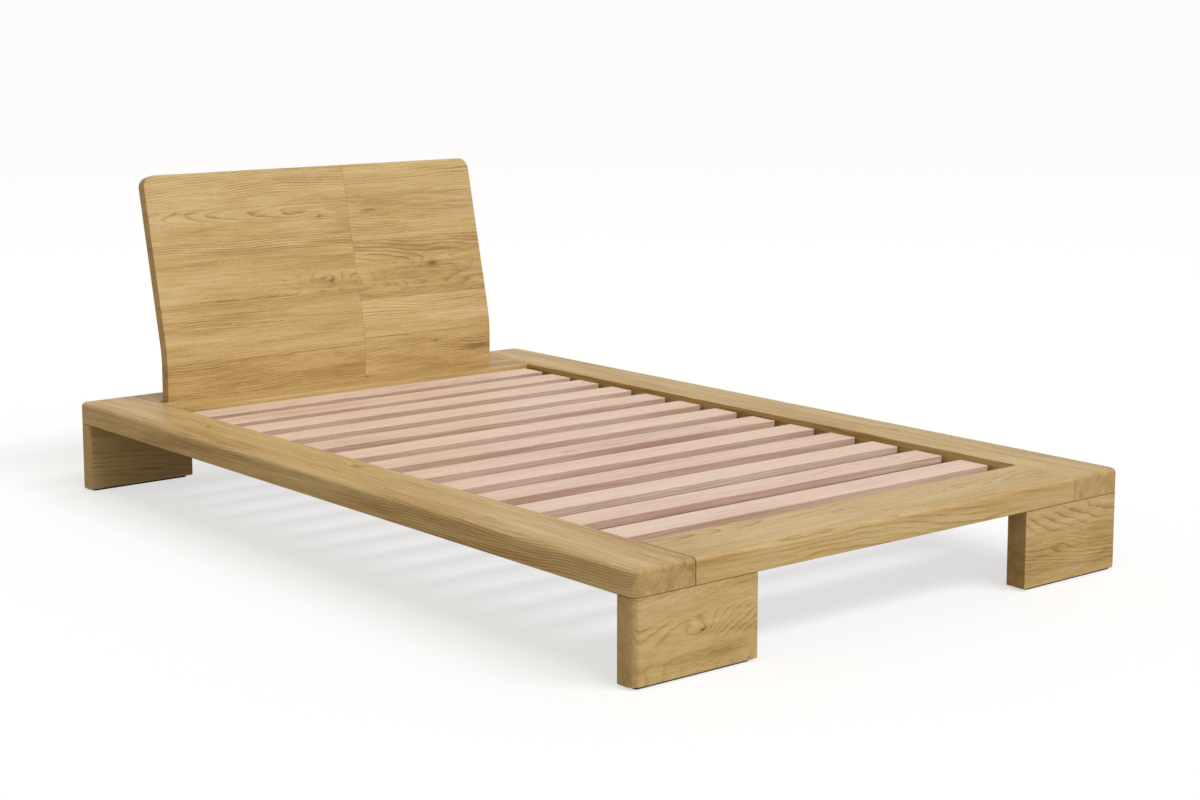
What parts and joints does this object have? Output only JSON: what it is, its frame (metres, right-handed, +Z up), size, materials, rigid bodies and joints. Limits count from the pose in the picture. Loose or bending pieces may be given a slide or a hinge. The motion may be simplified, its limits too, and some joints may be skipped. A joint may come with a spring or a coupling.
{
  "type": "bed frame",
  "caption": "Low wooden platform bed frame: wide plank rails on board legs, a leaning plug-in headboard and loose cross slats.",
  "frame": {"origin": "on the floor under the middle of the frame's plan outline", "axes": "+Y from the foot end to the head end, +X to the right as seen from the foot end, +Z up"},
  "size_m": [1.4, 2.19, 0.7987],
  "materials": {
    "frame_wood": "oiled solid wood with visible grain, satin",
    "headboard_wood": "oiled solid wood glued from horizontal staves, satin",
    "slat_wood": "planed untreated beech, matt",
    "ledger_wood": "dark stained softwood, matt",
    "dowel_wood": "plain beech dowel, matt",
    "zinc_steel": "zinc plated steel, satin",
    "pad_felt": "dense dark felt, matt"
  },
  "bodies": {
    "root": {"dowel_foot_rail_left_1": "dowel_wood", "dowel_foot_rail_left_2": "dowel_wood", "dowel_foot_rail_right_1": "dowel_wood", "dowel_foot_rail_right_2": "dowel_wood", "dowel_head_rail_left_1": "dowel_wood", "dowel_head_rail_left_2": "dowel_wood", "dowel_head_rail_right_1": "dowel_wood", "dowel_head_rail_right_2": "dowel_wood", "dowel_head_strip_left_1": "dowel_wood", "dowel_head_strip_left_2": "dowel_wood", "dowel_head_strip_right_1": "dowel_wood", "dowel_head_strip_right_2": "dowel_wood", "foot_rail": "frame_wood", "head_rail": "frame_wood", "head_strip": "frame_wood", "ledger_left": "ledger_wood", "ledger_right": "ledger_wood", "ledger_screw_left_1": "zinc_steel", "ledger_screw_left_2": "zinc_steel", "ledger_screw_left_3": "zinc_steel", "ledger_screw_right_1": "zinc_steel", "ledger_screw_right_2": "zinc_steel", "ledger_screw_right_3": "zinc_steel", "leg_foot_left": "frame_wood", "leg_foot_right": "frame_wood", "leg_head_left": "frame_wood", "leg_head_right": "frame_wood", "leg_screw_foot_left_cross": "zinc_steel", "leg_screw_foot_left_side": "zinc_steel", "leg_screw_foot_right_cross": "zinc_steel", "leg_screw_foot_right_side": "zinc_steel", "leg_screw_head_left_cross": "zinc_steel", "leg_screw_head_left_side": "zinc_steel", "leg_screw_head_right_cross": "zinc_steel", "leg_screw_head_right_side": "zinc_steel", "pad_foot_left": "pad_felt", "pad_foot_right": "pad_felt", "pad_head_left": "pad_felt", "pad_head_right": "pad_felt", "side_rail_left": "frame_wood", "side_rail_right": "frame_wood"},
    "headboard": {"headboard": "headboard_wood"},
    "slat_01": {"slat_01": "slat_wood"},
    "slat_02": {"slat_02": "slat_wood"},
    "slat_03": {"slat_03": "slat_wood"},
    "slat_04": {"slat_04": "slat_wood"},
    "slat_05": {"slat_05": "slat_wood"},
    "slat_06": {"slat_06": "slat_wood"},
    "slat_07": {"slat_07": "slat_wood"},
    "slat_08": {"slat_08": "slat_wood"},
    "slat_09": {"slat_09": "slat_wood"},
    "slat_10": {"slat_10": "slat_wood"},
    "slat_11": {"slat_11": "slat_wood"},
    "slat_12": {"slat_12": "slat_wood"},
    "slat_13": {"slat_13": "slat_wood"}
  },
  "joints": [
    {"name": "headboard_lift", "type": "slide", "parent": "root", "child": "headboard", "axis": [0, 0, 1], "range_m": [0, 0.045]},
    {"name": "slat_01_lift", "type": "slide", "parent": "root", "child": "slat_01", "axis": [0, 0, 1], "range_m": [0, 0.032]},
    {"name": "slat_02_lift", "type": "slide", "parent": "root", "child": "slat_02", "axis": [0, 0, 1], "range_m": [0, 0.032]},
    {"name": "slat_03_lift", "type": "slide", "parent": "root", "child": "slat_03", "axis": [0, 0, 1], "range_m": [0, 0.032]},
    {"name": "slat_04_lift", "type": "slide", "parent": "root", "child": "slat_04", "axis": [0, 0, 1], "range_m": [0, 0.032]},
    {"name": "slat_05_lift", "type": "slide", "parent": "root", "child": "slat_05", "axis": [0, 0, 1], "range_m": [0, 0.032]},
    {"name": "slat_06_lift", "type": "slide", "parent": "root", "child": "slat_06", "axis": [0, 0, 1], "range_m": [0, 0.032]},
    {"name": "slat_07_lift", "type": "slide", "parent": "root", "child": "slat_07", "axis": [0, 0, 1], "range_m": [0, 0.032]},
    {"name": "slat_08_lift", "type": "slide", "parent": "root", "child": "slat_08", "axis": [0, 0, 1], "range_m": [0, 0.032]},
    {"name": "slat_09_lift", "type": "slide", "parent": "root", "child": "slat_09", "axis": [0, 0, 1], "range_m": [0, 0.032]},
    {"name": "slat_10_lift", "type": "slide", "parent": "root", "child": "slat_10", "axis": [0, 0, 1], "range_m": [0, 0.032]},
    {"name": "slat_11_lift", "type": "slide", "parent": "root", "child": "slat_11", "axis": [0, 0, 1], "range_m": [0, 0.032]},
    {"name": "slat_12_lift", "type": "slide", "parent": "root", "child": "slat_12", "axis": [0, 0, 1], "range_m": [0, 0.032]},
    {"name": "slat_13_lift", "type": "slide", "parent": "root", "child": "slat_13", "axis": [0, 0, 1], "range_m": [0, 0.032]}
  ]
}
